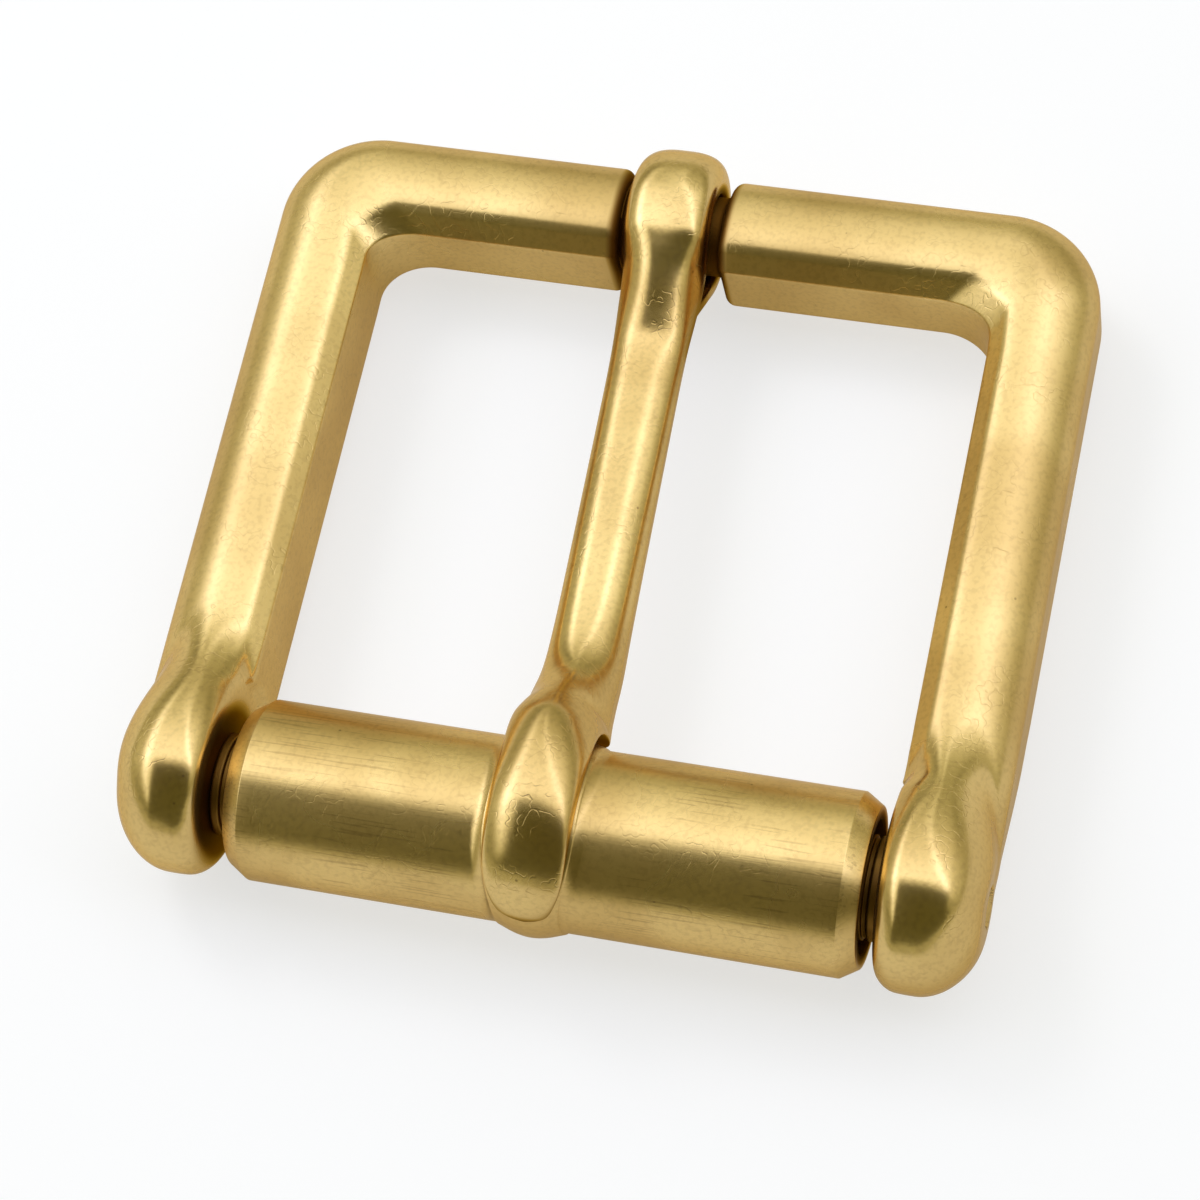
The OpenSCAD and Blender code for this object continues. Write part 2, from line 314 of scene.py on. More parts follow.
def halfFrame(start, neckMiddle):
    # rings from the middle of the neck out along +X, round the corner, down the arm to the lug's front.
    # Corner: each column turns a quarter circle of its own radius r, x = xc + r*sin(b), y = yc +
    # r*cos(b). Lug: each point is where a ray from the arm's middle line leaves endField, found by
    # halving its span
    count = frameShape["rings"]
    outline = barColumns(0.0)
    angle = np.arctan2(outline[:, 1], outline[:, 0])
    around = np.stack([np.cos(angle), np.sin(angle)], -1)
    inward = np.roll(outline, -1, 0) - np.roll(outline, 1, 0)
    inward = np.stack([-inward[:, 1], inward[:, 0]], -1) / np.linalg.norm(inward, axis=1)[:, None]
    back = [bar["shift"], 0]
    rings = []

    def ring(x, section):
        # the section stood across the crossbar at x
        rings.append(np.stack([np.full(len(section), x), barY + section[:, 0], barZ + section[:, 1]], -1))

    for t in np.linspace(0.0, 1.0, count["neck"]):
        ring(neckMiddle + (start - neck["foot"] - neckMiddle) * t, neck["radius"] * around)
    for a in np.radians([30, 60, 90]):  # small fillet at the neck's foot
        radius = neck["radius"] + neck["foot"] * (1 - np.cos(a))
        ring(start - neck["foot"] * (1 - np.sin(a)), radius * around)
    face = outline + neck["round"] * inward + back
    foot = (neck["radius"] + neck["foot"]) * around
    for t in (0.25, 0.5, 0.75, 1.0):
        ring(start, foot + (face - foot) * t)
    for a in np.radians(np.linspace(9, 90, count["shoulder"])):
        inset = neck["round"] * (1 - np.sin(a))  # at depth round*(1 - cos a)
        ring(start + neck["round"] * (1 - np.cos(a)), outline + inset * inward + back)

    def corner(arm):
        # each column's own turning circle: the outer ones turn about one point, and the inner ones on a
        # fillet that shrinks from the wall (lift 0) to the crest (lift 90)
        w, h = barColumns(arm).T
        lift = np.degrees(np.arctan2(np.maximum(h - bar["wallTop"], 0), np.maximum(-w, 1e-9)))
        shrunk = smoothStep(0, bar["crestAt"], lift)
        fillet = bar["innerTurn"] - (bar["innerTurn"] - bar["crestTurn"]) * shrunk
        turn = smoothMax(bar["outerTurn"] - bar["cross"]["half"] + w, fillet, bar["turnBlend"])
        return w, h, turn, bar["middleX"] + w - turn, barY + bar["shift"] + w - turn

    w, h, turn, xc, yc = corner(0.0)
    x0 = start + neck["round"]
    for t in np.linspace(0, 1, count["cross"])[1:-1]:
        rings.append(np.stack([x0 + (xc - x0) * t, barY + bar["shift"] + w, barZ + h], -1))
    for b in np.radians(np.linspace(0, 90, count["corner"])):
        w, h, turn, xc, yc = corner(smoothStep(0, np.pi / 2, b))
        rings.append(np.stack([xc + turn * np.sin(b), yc + turn * np.cos(b), barZ + h], -1))
    lugStart, lugMiddle = lugY + frameShape["lugStart"], lugY + frameShape["lugMiddle"]
    for t in np.linspace(0, 1, count["arm"])[1:-1]:
        rings.append(np.stack([bar["middleX"] + w, yc + (lugStart - yc) * t, barZ + h], -1))

    yFlat = np.concatenate([np.linspace(lugStart, lugMiddle, count["armToLug"]),
                            np.linspace(lugMiddle, lugY - frameShape["lugFront"], count["lug"])[1:]])
    lean = np.radians(np.linspace(0, frameShape["capLean"], count["cap"])[1:])
    y = np.concatenate([yFlat, np.full(lean.size, yFlat[-1])])[:, None]
    tilt = np.concatenate([np.zeros(yFlat.size), lean])[:, None]
    angle = armAngle[None, :]
    zMiddle = barZ + (lugZ - barZ) * smoothStep(lugStart, lugY + 2, y)
    dx, dy, dz = np.cos(tilt) * np.cos(angle), -np.sin(tilt) + 0 * angle, np.cos(tilt) * np.sin(angle)
    up = np.maximum(np.sin(angle), 0) * np.ones_like(dx)
    low, high = np.zeros_like(dx), np.full_like(dx, frameShape["farthest"])
    for _ in range(frameShape["halvings"]):
        mid = (low + high) / 2
        inside = endField(bar["middleX"] + dx * mid, y + dy * mid, zMiddle + dz * mid, up) < 0
        low, high = np.where(inside, mid, low), np.where(inside, high, mid)
    rings.extend(np.stack([bar["middleX"] + dx * low, y + dy * low, zMiddle + dz * low], -1))
    return np.array(rings)


def frameGapShade(x, y, z):
    # painted shade in the gaps: 1 on the neck and just beside it, fading out along x, and on the lugs'
    # inner faces near the pin
    shadeAt = frameShape["gapShade"]
    beyond = np.maximum(x - neck["right"], neck["left"] - x)
    nearNeck = (1 - smoothStep(*shadeAt["neck"], beyond)) * (y > barY - shadeAt["neckDepth"])
    nearPin = 1 - smoothStep(*shadeAt["pinEnd"], np.abs(x) - lug["inner"])
    nearPin = nearPin * (1 - smoothStep(*shadeAt["pinRadius"], np.hypot(y - lugY, z - lugZ)))
    return np.maximum(nearNeck, nearPin)


def movedInside(half, shift):
    # x + shift*weight, the weight 1 on the arm's inner side and 0 at its middle line, crossbar and lug
    side = frameShape["innerSide"]
    x, y = half[..., 0], half[..., 1]
    weight = smoothStep(bar["middleX"], bar["middleX"] - side["width"], x)
    weight = weight * smoothStep(*(barY - d for d in side["crossEnd"]), y)
    weight = weight * smoothStep(*(lugY + d for d in side["lugEnd"]), y)
    return np.stack([x + shift * weight, y, half[..., 2]], -1)


neckMiddle = (neck["left"] + neck["right"]) / 2
rightHalf = movedInside(halfFrame(neck["right"], neckMiddle), frameShape["innerSide"]["right"])
leftHalf = movedInside(halfFrame(-neck["left"], -neckMiddle), frameShape["innerSide"]["left"]) * [-1, 1, 1]
framePiece = gridPiece("brass_frame", np.concatenate([leftHalf[::-1], rightHalf[1:]]), frameGapShade)


# the roller: half of its length, bevels and wider bore at both ends. The bead's half width is beadHalf in
# front and below, and beadWider more above, where the tongue lies; lip is the small step at its sides
rollerShape = {
    "half": 19.1, "middleX": 0.3, "radius": 5.5, "bevelLength": 1.1, "bevelHeight": 0.7, "recess": 4.0,
    "recessLength": 1.6, "bore": 3.18, "fillet": 0.13, "angleStep": 1.5,
    "bead": 0.6, "beadX": -0.12, "beadHalf": 2.05, "beadWider": 0.75, "widerFrom": (5, 75),
    # gapShade: radii over which painted shade on the end faces and in the bore fades out
    "widerTo": (170, 250), "lip": 0.11, "lipShare": 0.9, "crown": 1.3, "gapShade": (4.3, 4.75),
    "rows": {"lip": 7, "bead": 34, "side": 24},
}


def turnedSurface(profile, angles):
    # lathe about the pin's axis: (x, -r*cos(a), r*sin(a)); profile rows are (x, r), or one set per angle
    x, r = profile[..., 0], profile[..., 1]
    if x.ndim == 1:
        x, r = x[:, None], r[:, None]
    a = angles[None, :]
    return np.stack([x + 0 * a, lugY - r * np.cos(a), lugZ + r * np.sin(a)], -1)


def filleted(points, radius, steps=4):
    # the polygon's corners replaced by arcs that touch both sides, centre radius/sin(half angle) away
    out = []
    n = len(points)
    for i in range(n):
        p, a, b = (np.asarray(points[k % n], float) for k in (i, i - 1, i + 1))
        u, v = (a - p) / np.linalg.norm(a - p), (b - p) / np.linalg.norm(b - p)
        half = np.arccos(np.clip(u @ v, -1, 1)) / 2
        centre = p + (u + v) / np.linalg.norm(u + v) * radius / np.sin(half)
        s, e = p + u * radius / np.tan(half) - centre, p + v * radius / np.tan(half) - centre
        for t in np.linspace(0, 1, steps + 1):
            q = s * (1 - t) + e * t
            out.append(centre + q / np.linalg.norm(q) * radius)
    return np.array(out)


def buildRoller():
    # closed section carried round the axis; the bead rises by lip*sqrt(1 - q^4) + (bead - lip)*(1 -
    # t^2)^crown, with t the distance from its middle over its half width and q from 0 to 1 over the last
    # part of it
    s = rollerShape
    half, outer, recess = s["half"], s["radius"], s["recess"]
    bevel, floor = half - s["bevelLength"], half - s["recessLength"]
    angles = np.radians(np.arange(0, 360, s["angleStep"]))
    end = outer - s["bevelHeight"]
    section = filleted([(-half, end), (-bevel, outer), (bevel, outer), (half, end), (half, recess),
                        (floor, recess), (floor, s["bore"]), (-floor, s["bore"]), (-floor, recess),
                        (-half, recess)], s["fillet"])
    section[:, 0] += s["middleX"]
    front = np.degrees(angles)
    wider = smoothStep(*s["widerFrom"], front) * (1 - smoothStep(*s["widerTo"], front))
    width = s["beadHalf"] + s["beadWider"] * wider
    lip, count = s["lipShare"], s["rows"]
    t = np.concatenate([np.linspace(-1, -lip, count["lip"]), np.linspace(-lip, lip, count["bead"])[1:-1],
                        np.linspace(lip, 1, count["lip"])])
    q = np.clip((np.abs(t) - lip) / (1 - lip), 0, 1)
    height = s["lip"] * np.sqrt(1 - q ** 4) + (s["bead"] - s["lip"]) * (1 - t ** 2) ** s["crown"]
    beadX = s["beadX"] + t[:, None] * width[None, :]
    before, after = section[:10], section[10:]  # up to the end of the left bevel, and on from the right one
    along = np.linspace(0, 1, count["side"])[1:-1, None]
    left = before[-1, 0] + (beadX[0] - before[-1, 0]) * along
    right = beadX[-1] + (after[0, 0] - beadX[-1]) * along
    ones = np.ones((1, angles.size))
    x = np.vstack([before[:, :1] * ones, left, beadX, right, after[:, :1] * ones])
    r = np.vstack([before[:, 1:] * ones, outer + 0 * left, outer + height[:, None] * ones,
                   outer + 0 * right, after[:, 1:] * ones])

    def gapShade(x, y, z):
        # painted shade: 1 on the end faces inside the bevels and in the bore
        return 1 - smoothStep(*s["gapShade"], np.hypot(y - lugY, z - lugZ))

    return gridPiece("brass_roller", turnedSurface(np.stack([x, r], -1), angles), gapShade, closedRings=True)


rollerPiece = buildRoller()


# the pin: body between the lugs, thinner tails in them, two narrow grooves at each end of the body
pinShape = {"radius": 3.1, "bodyEnd": 20.17, "tail": 1.2, "tailEnd": 25.9, "tailRound": 0.12, "tip": 0.02,
            "groove": 0.35, "grooveDepth": 0.2, "grooveSides": ((0.5, 0), (0.35, 1), (-0.35, 1), (-0.5, 0)),
            "middle": 12, "between": 5, "angleStep": 4, "gapShade": 0.4, "gapShadeEnd": 21}


def buildPin():
    # half outline (x, r) from the right end to the middle, mirrored, then turned about the axis
    s = pinShape
    end, tail, bodyEnd = s["tailEnd"], s["tail"], s["bodyEnd"]
    rows = [(end, s["tip"]), (end, tail - s["tailRound"]), (end - s["tailRound"], tail), (bodyEnd, tail),
            (bodyEnd, s["radius"])]
    for n in (1, 2):
        x = bodyEnd - 2 * n * s["groove"]
        for along, depth in s["grooveSides"]:
            rows.append((x + along * s["groove"], s["radius"] - depth * s["grooveDepth"]))
    rows.append((s["middle"], s["radius"]))
    rows = np.array(rows)
    parts = [np.linspace(a, b, s["between"])[:-1] for a, b in zip(rows[:-1], rows[1:])]
    dense = np.concatenate(parts + [rows[-1:]])
    profile = np.concatenate([dense * [-1, 1], dense[::-1]])
    grid = turnedSurface(profile, np.radians(np.arange(0, 360, s["angleStep"])))
    # painted shade of 0.4 all along the pin out to gapShadeEnd, where it lies between roller and lugs
    return gridPiece("brass_pin", grid, lambda x, y, z: s["gapShade"] * (np.abs(x) < s["gapShadeEnd"]))


pinPiece = buildPin()


# the tongue: radii of the eye and its bore round the neck, and of the saddle over the roller. Its middle
# line starts at centre on the neck, has gone over by drift at driftEnd in front of it, and steps aside
# near asideAt
tongueShape = {
    "eye": 4.93, "bore": 2.58, "backThicker": 0.27, "saddle": 6.3,
    "ringHalf": 2.7, "ringLow": 0.2, "ringPower": 2.9, "underPower": 5.0,
    "stations": 420, "overPoints": 73, "underPoints": 41,
    "centre": -1.0, "drift": 1.05, "driftEnd": 38, "aside": -0.3, "asideAt": 34.5, "asideWidth": 2.6,
    # gapShade: where painted shade lies, in the eye's bore, under the tip and on the curled end
    "gapShade": {"bore": (2.9, 3.6), "saddle": (6.32, 6.5), "curl": 0.6, "curlFrom": (2.5, 4.5),
              "curlTo": (8.5, 10), "curlTop": (0.6, 1.8)},
}


def onRing(degrees, half=tongueShape["ringHalf"]):
    # both edges on the eye's circles: (r*cos a, r*sin a) with r = eye, plus backThicker*(-cos a)^3 at its
    # back only, and (bore*cos a, bore*sin a)
    a = math.radians(degrees)
    r = tongueShape["eye"] + tongueShape["backThicker"] * max(0.0, -math.cos(a)) ** 3
    bore = tongueShape["bore"]
    return (r * math.cos(a), r * math.sin(a), bore * math.cos(a), bore * math.sin(a), half,
            tongueShape["ringLow"], tongueShape["ringPower"])


def onSaddle(u, v, degrees, half, low, power):
    # inner edge on the saddle's circle round the roller's axis, degrees above its front
    a = math.radians(degrees)
    r = tongueShape["saddle"]
    return (u, v, reach + r * math.cos(a), lugZ - barZ + r * math.sin(a), half, low, power)


# sections along the tongue, from the curled end round the eye to the tip. u is mm in front of the neck's
# axis and v mm above it, for the outer and inner edges seen from the side; then half the width, the share
# of the height that lies below the widest line, and the power of the upper curve, 2 for an ellipse
tongueShape["rows"] = [
    (9.3, 1.2, 8.7, 1.7, 0.6, 0.4, 2.2),
    (8.9, 1.05, 7.7, 1.4, 1.3, 0.4, 2.2),
    (7.9, 0.3, 6.6, 0.6, 1.75, 0.4, 2.2),
    (6.7, -0.75, 5.3, -0.2, 2.05, 0.35, 2.2),
    (5.3, -2.0, 3.9, -0.85, 2.3, 0.3, 2.2),
    (3.8, -3.35, 2.6, -1.65, 2.5, 0.25, 2.2),
    onRing(-60, 2.62), onRing(-78, 2.68), onRing(-96), onRing(-114), onRing(-132), onRing(-150),
    onRing(-168), onRing(-186), onRing(-204), onRing(-222), onRing(-240), onRing(-258),
    (0.4, 4.92, 0.5, 2.53, 2.7, 0.2, 2.8),
    (1.9, 4.74, 1.55, 2.06, 2.69, 0.22, 2.7),
    (3.1, 4.4, 2.3, 1.2, 2.66, 0.24, 2.3),
    (4.3, 3.97, 2.85, 0.35, 2.6, 0.26, 2.12),
    (5.6, 3.48, 4.3, -0.1, 2.54, 0.28, 2.08),
    (7.1, 2.92, 6.3, 0.0, 2.45, 0.32, 2.08),
    (8.5, 2.5, 8.3, 0.15, 2.36, 0.35, 2.1),
    (9.9, 2.38, 9.9, 0.15, 2.32, 0.36, 2.15),
    (12.0, 2.45, 12.0, 0.12, 2.3, 0.36, 2.2),
    (15.0, 2.6, 15.0, 0.1, 2.3, 0.36, 2.2),
    (19.0, 2.82, 19.0, 0.08, 2.3, 0.36, 2.2),
    (23.0, 3.05, 23.0, 0.05, 2.3, 0.36, 2.2),
    (26.6, 3.27, 26.6, 0.02, 2.31, 0.36, 2.2),
    (28.8, 3.5, 28.9, 0.0, 2.34, 0.36, 2.15),
    (30.2, 3.82, 30.7, -0.08, 2.38, 0.36, 2.05),
    (31.3, 4.35, 32.2, -0.15, 2.42, 0.36, 2.0),
    (32.3, 5.1, 33.6, -0.2, 2.52, 0.33, 1.95),
    (33.2, 5.98, 34.75, -0.2, 2.6, 0.28, 1.9),
    onSaddle(34.2, 6.95, 176, 2.64, 0.22, 1.9),
    onSaddle(35.5, 7.98, 158, 2.66, 0.16, 1.95),
    onSaddle(37.3, 8.66, 138, 2.64, 0.12, 2.0),
    onSaddle(39.3, 8.95, 118, 2.6, 0.1, 2.05),
    onSaddle(41.2, 8.86, 97, 2.6, 0.1, 2.05),
    onSaddle(42.9, 8.35, 78, 2.58, 0.1, 2.05),
    onSaddle(44.4, 7.35, 60, 2.5, 0.12, 2.05),
    onSaddle(45.6, 6.1, 45, 2.3, 0.15, 2.0),
    onSaddle(46.4, 4.85, 34, 1.95, 0.2, 2.0),
    onSaddle(46.85, 3.85, 26, 1.5, 0.3, 2.0),
    onSaddle(46.98, 3.3, 22.5, 0.95, 0.4, 2.0),
    onSaddle(47.0, 3.1, 21, 0.4, 0.5, 2.0),
]


def buildTongue():
    # superellipse at each station along the rows' spline: height = part*|sin f|^(2/p) towards the outer
    # or inner edge, across = half*sign(cos f)*|cos f|^(2/p), p the row's power above the widest line and
    # underPower below it
    s = tongueShape
    rows = spline(s["rows"], s["stations"])
    f = np.concatenate([np.linspace(0, np.pi, s["overPoints"])[:-1],
                        np.linspace(np.pi, 2 * np.pi, s["underPoints"])[:-1]])[None, :]
    outer, inner, half, low = rows[:, None, 0:2], rows[:, None, 2:4], rows[:, 4:5], rows[:, 5:6]
    middle = inner + (outer - inner) * low[:, None, :]
    c, d = np.cos(f), np.sin(f)
    power = 2 / np.where(d >= 0, rows[:, 6:7], s["underPower"])
    rise = (np.abs(d) ** power)[..., None]
    side = middle + np.where(d[..., None] >= 0, outer - middle, inner - middle) * rise
    across = half * np.sign(c) * np.abs(c) ** power
    u, v = side[..., 0], side[..., 1]
    aside = s["aside"] * np.exp(-((u - s["asideAt"]) / s["asideWidth"]) ** 2)
    centre = s["centre"] + s["drift"] * np.clip(u / s["driftEnd"], 0, 1) + aside

    def gapShade(x, y, z):
        # painted shade: 1 inside the eye's bore and under the tip, less on the curled end
        shadeAt = s["gapShade"]
        u, v = barY - y, z - barZ
        bore = 1 - smoothStep(*shadeAt["bore"], np.hypot(u, v))
        saddle = 1 - smoothStep(*shadeAt["saddle"], np.hypot(u - reach, v - lugZ + barZ))
        curl = smoothStep(*shadeAt["curlFrom"], u) * (1 - smoothStep(*shadeAt["curlTo"], u))
        curl = shadeAt["curl"] * curl * (1 - smoothStep(*shadeAt["curlTop"], v))
        return np.maximum(np.maximum(bore, saddle), curl)

    return gridPiece("brass_tongue", np.stack([centre + across, barY - u, barZ + v], -1), gapShade)


tonguePiece = buildTongue()

for piece, node, body in ((framePiece, "frame", "frame"), (pinPiece, "roller_pin", "frame"),
                          (rollerPiece, "roller", "roller"), (tonguePiece, "tongue", "tongue")):
    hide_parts(node)
    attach(piece, body)
print("pieces ride on their bodies")


# brass by slot, sizes and depths in mm. Tone patches run from colour to dark; rough is on the open
# surface, and shiny instead on what lies in front of shinyFrom; undulation, grain, brush and curls are
# the depths of the relief
brassLooks = {
    # cast, then tumbled and polished: a softly wavy sheen on the bars, sharper on the lugs, which get
    # more rubbing
    "frame_brass": {"material": "polished cast brass", "colour": "#F8DA92", "dark": "#DAB86F",
                    "rough": 0.27, "shiny": 0.16, "toneSize": 11, "undulation": 0.035, "grain": 0.0016,
                    "brush": 0.0, "curls": 0.0045},
    # the same casting, polished further: sharp reflections that sway a little
    "tongue_brass": {"material": "bright polished cast brass", "colour": "#F8DA92", "dark": "#DBBA72",
                     "rough": 0.17, "toneSize": 9, "undulation": 0.03, "grain": 0.0014, "brush": 0.0,
                     "curls": 0.0045},
    # turned on a lathe and brushed lengthwise: streaky highlights that lie along the roller
    "roller_brass": {"material": "turned and brushed brass", "colour": "#F6D78E", "dark": "#D8B66D",
                     "rough": 0.26, "toneSize": 8, "undulation": 0.02, "grain": 0.0016, "brush": 0.0022,
                     "curls": 0.0025},
    # drawn rod, never polished: darker, dull and even
    "pin_brass": {"material": "dull drawn brass", "colour": "#A8823C", "dark": "#6E5020", "rough": 0.34,
                  "toneSize": 3, "undulation": 0.01, "grain": 0.0016, "brush": 0.0, "curls": 0.0025},
}
# what all four share: sizes in mm, shares of the darker colour, and the levels of a noise between which
# it fades in
brassShared = {
    "tone": (0.38, 0.66), "toneShare": 0.8, "toneRough": 0.05,
    "wave": 4.5,  # from one swell of the casting to the next
    "grain": 0.2,  # marks of the grit, drawn coarser than the real ones to show
    "speckle": 0.32, "speckled": (0.42, 0.72), "speckleShare": 0.13,
    # curly hairlines from tumbling, drawn wider than the real ones to show
    "curl": 0.9, "curled": (0.026, 0.004), "curlPatch": 3.2, "curlSome": (0.42, 0.56), "curlShare": 0.1,
    # casting pits 0.2 across, also coarser than real
    "pitApart": 2.1, "pit": (0.05, 0.025), "pitSome": (0.5, 0.52), "pitShare": 0.5,
    # lines of the brushing, drawn coarser than real, and how much longer than wide
    "brush": 0.1, "brushLong": 60.0,
    # a few deeper and darker lines
    "stroke": 0.14, "strokeLong": 30.0, "stroked": (0.62, 0.7), "strokePatch": 5.0,
    "strokeSome": (0.42, 0.62), "strokeShare": 0.25,
    # gapShade: the brown of the painted shade in the gaps, and how much rougher the metal is there
    "gapShade": "#7A5520", "gapShadeRough": 0.3,
    "lacquer": 0.8, "lacquerRough": 0.28, "edge": "#F5D68A",  # brass stays yellow at grazing angles
    "shinyFrom": 10, "shinyAt": 6,  # behind the roller's axis
}


def brass(look):
    # metal whose colour is mixed from colour and dark by slow noise, then with a brown by the larger of
    # stains and the gap mask, stains = shares of speckle, pits, curls and strokes, the gap mask painted
    # shade in the gaps; height = swells + grain - curls + brushing, in mm; a thin clear lacquer lies on it
    # except in the gaps
    share = brassShared
    material = bpy.data.materials.new(look["material"])
    material.use_nodes = True
    tree = material.node_tree
    shader = tree.nodes["Principled BSDF"]
    place = addNode(tree, "TexCoord", out="Object")

    def patches(size, detail, along=1.0):
        # noise with patches size mm apart, drawn out along x
        spread = [1000 / size / along, 1000 / size, 1000 / size]
        vector = addNode(tree, "Mapping", {"Vector": place, "Scale": spread})
        return addNode(tree, "TexNoise", {"Vector": vector, "Scale": 1.0, "Detail": detail})

    tone = addNode(tree, "MapRange", (patches(look["toneSize"], 2.0), *share["tone"]), **smooth)
    speckle = addNode(tree, "MapRange", (patches(share["speckle"], 1.0), *share["speckled"]), **smooth)
    # curls lie where a noise passes its middle value, and only in some patches
    curl = addNode(tree, "Math", (patches(share["curl"], 1.0), 0.5), **minus)
    curl = addNode(tree, "Math", (curl,), operation="ABSOLUTE")
    curl = addNode(tree, "MapRange", (curl, *share["curled"]), **smooth)
    some = patches(share["curlPatch"], 0.0)
    some = addNode(tree, "MapRange", (some, *share["curlSome"]), **smooth)
    curl = addNode(tree, "Math", (curl, some), **times)
    cell = addNode(tree, "TexVoronoi", {"Vector": place, "Scale": 1000 / share["pitApart"]})
    chance = addNode(tree, "SeparateColor", (cell.node.outputs["Color"],))
    pit = addNode(tree, "Math", (addNode(tree, "MapRange", (cell, *share["pit"]), **smooth),
                                 addNode(tree, "MapRange", (chance, *share["pitSome"]), **smooth)), **times)
    # mask of the painted shade in the gaps, kept on each point of the mesh
    gapShade = addNode(tree, "Attribute", out="Fac", attribute_name="gapShade")

    toneMix = addNode(tree, "Math", (tone, share["toneShare"]), **times)
    light, dark = linearColour(look["colour"]), linearColour(look["dark"])
    colour = addNode(tree, "Mix", {0: toneMix, 6: light, 7: dark}, out=2, data_type="RGBA")
    stainAndShade = addNode(tree, "Math", (speckle, share["speckleShare"]), **times)
    stainAndShade = addNode(tree, "Math", (pit, share["pitShare"], stainAndShade), **timesPlus)
    stainAndShade = addNode(tree, "Math", (curl, share["curlShare"], stainAndShade), **timesPlus)
    rough = addNode(tree, "Math", (gapShade, share["gapShadeRough"], look["rough"]), **timesPlus)
    rough = addNode(tree, "Math", (tone, share["toneRough"], rough), **timesPlus)
    height = addNode(tree, "Math", (patches(share["wave"], 0.0), look["undulation"]), **times)
    height = addNode(tree, "Math", (patches(share["grain"], 1.0), look["grain"], height), **timesPlus)
    height = addNode(tree, "Math", (curl, -look["curls"], height), **timesPlus)
    if look["brush"]:
        lines = patches(share["brush"], 1.0, share["brushLong"])
        height = addNode(tree, "Math", (lines, look["brush"], height), **timesPlus)
        stroke = patches(share["stroke"], 0.0, share["strokeLong"])
        stroke = addNode(tree, "MapRange", (stroke, *share["stroked"]), **smooth)
        some = patches(share["strokePatch"], 0.0)
        some = addNode(tree, "MapRange", (some, *share["strokeSome"]), **smooth)
        stroke = addNode(tree, "Math", (stroke, some), **times)
        stainAndShade = addNode(tree, "Math", (stroke, share["strokeShare"], stainAndShade), **timesPlus)
    if "shiny" in look:
        along = addNode(tree, "SeparateXYZ", (place,), out=1)
        ends = ((lugY + share[key]) * mm for key in ("shinyFrom", "shinyAt"))
        ahead = addNode(tree, "MapRange", (along, *ends), **smooth)
        rough = addNode(tree, "Math", (ahead, look["shiny"] - look["rough"], rough), **timesPlus)
    # the gaps take the painted shade, at least as much as the stains
    stainAndShade = addNode(tree, "Math", (stainAndShade, gapShade), operation="MAXIMUM")
    gapShadeBrown = linearColour(share["gapShade"])
    stainedAndShaded = addNode(tree, "Mix", {0: stainAndShade, 6: colour, 7: gapShadeBrown}, out=2, data_type="RGBA")
    lacquer = addNode(tree, "MapRange", (gapShade, 0.5, 0.0, 0.0, share["lacquer"]), **smooth)
    bump = addNode(tree, "Bump", {"Height": height, "Distance": mm})
    ends = {"Base Color": stainedAndShaded, "Roughness": rough, "Coat Weight": lacquer, "Normal": bump}
    for socket, value in ends.items():
        tree.links.new(value, shader.inputs[socket])
    shader.inputs["Metallic"].default_value = 1.0
    shader.inputs["Coat Roughness"].default_value = share["lacquerRough"]
    shader.inputs["Specular Tint"].default_value = linearColour(share["edge"])
    return material


for piece, slot in ((framePiece, "frame_brass"), (pinPiece, "pin_brass"), (rollerPiece, "roller_brass"),
                    (tonguePiece, "tongue_brass")):
    piece.data.materials.append(brass(brassLooks[slot]))
print("materials are on")


# the sheet of paper under the buckle, half its side and its depth in m. It glows a little, so that the
# backdrop looks whiter to the camera than in the brass: glow is the strength in reflections and moreSeen
# what the camera gets on top
paperLook = {"half": 2, "depth": 0.00002, "material": "matt white paper", "colour": "#A9AAAC", "rough": 0.9,
             "specular": 0.1, "glow": 0.3, "moreSeen": 0.36, "reflectedTint": (1, 0.9, 0.66, 1),
             "seenTint": (0.98, 0.99, 1, 1)}


def buildFloor():
    # one flat square, its four corners at half the side
    half, depth = paperLook["half"], paperLook["depth"]
    mesh = bpy.data.meshes.new("floor")
    corners = [(-half, -half, -depth), (half, -half, -depth), (half, half, -depth), (-half, half, -depth)]
    mesh.from_pydata(corners, [], [(0, 1, 2, 3)])
    floor = bpy.data.objects.new("floor", mesh)
    scene.collection.objects.link(floor)
    # paper scatters light evenly and has no shine
    paper = bpy.data.materials.new(paperLook["material"])
    paper.use_nodes = True
    tree = paper.node_tree
    shader = tree.nodes["Principled BSDF"]
    shader.inputs["Base Color"].default_value = linearColour(paperLook["colour"])
    shader.inputs["Roughness"].default_value = paperLook["rough"]
    shader.inputs["Specular IOR Level"].default_value = paperLook["specular"]
    seen = addNode(tree, "LightPath", out="Is Camera Ray")
    tint = addNode(tree, "Mix", {0: seen, 6: paperLook["reflectedTint"], 7: paperLook["seenTint"]},
                   out=2, data_type="RGBA")
    strength = addNode(tree, "Math", (seen, paperLook["moreSeen"], paperLook["glow"]), **timesPlus)
    tree.links.new(tint, shader.inputs["Emission Color"])
    tree.links.new(strength, shader.inputs["Emission Strength"])
    mesh.materials.append(paper)
    return floor


